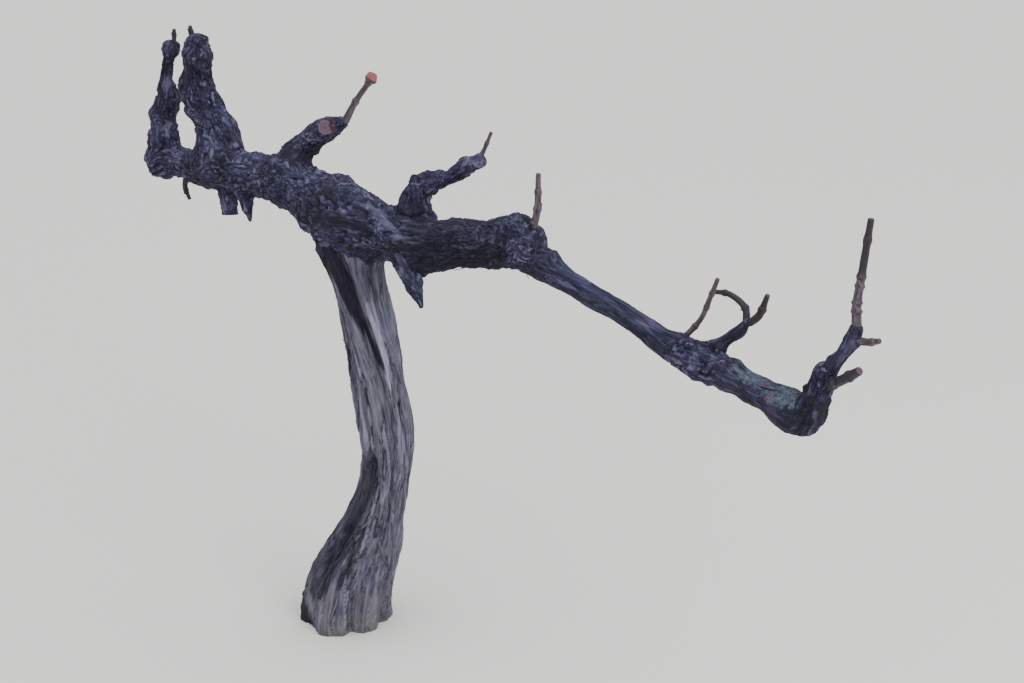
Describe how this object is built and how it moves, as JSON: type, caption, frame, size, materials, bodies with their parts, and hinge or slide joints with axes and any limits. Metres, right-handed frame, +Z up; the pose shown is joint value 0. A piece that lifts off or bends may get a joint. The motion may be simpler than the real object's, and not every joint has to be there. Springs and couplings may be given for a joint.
{
  "type": "grapevine",
  "caption": "Old spur-pruned grapevine in winter: a bowed trunk with flared foot, two knotty arms along the row, a long slim cordon, and short cut-back canes with no leaves.",
  "frame": {"origin": "the middle of the flat cut under the trunk, at ground level", "axes": "+X runs along the vineyard row, from the short arm to the long cordon; +Y is away from the side that the picture shows; +Z is up"},
  "size_m": [1.3586, 0.1447, 0.9054],
  "materials": {
    "trunk_bark": "weathered grey-brown fibrous vine bark",
    "arm_bark": "damp near-black scaly vine bark",
    "twig_bark": "smooth brown bark of one-year canes"
  },
  "bodies": {
    "root": {"trunk": "trunk_bark", "left_arm": "arm_bark", "left_outer_spur": "arm_bark", "left_outer_tip": "arm_bark", "left_inner_spur": "arm_bark", "left_inner_tip": "arm_bark", "left_hanging_stub": "arm_bark", "left_bark_snag": "arm_bark", "top_spur": "arm_bark", "top_spur_cut": "arm_bark", "right_arm": "arm_bark", "right_spur": "arm_bark", "right_spur_tip": "arm_bark", "hanging_snag": "arm_bark", "cordon": "arm_bark", "cordon_knot": "arm_bark", "knot_spur": "arm_bark", "cordon_end": "arm_bark", "end_spur": "arm_bark", "end_spur_tip": "arm_bark", "twigs_left_hook": "twig_bark", "twigs_left_outer": "twig_bark", "twigs_left_inner": "twig_bark", "twigs_top_spur": "twig_bark", "twigs_right_spur": "twig_bark", "twigs_right_arm": "twig_bark", "twigs_cordon": "twig_bark", "twigs_knot_left": "twig_bark", "twigs_knot_right": "twig_bark", "twigs_end_side": "twig_bark", "twigs_end_node": "twig_bark", "twigs_end_spur": "twig_bark"}
  },
  "joints": []
}
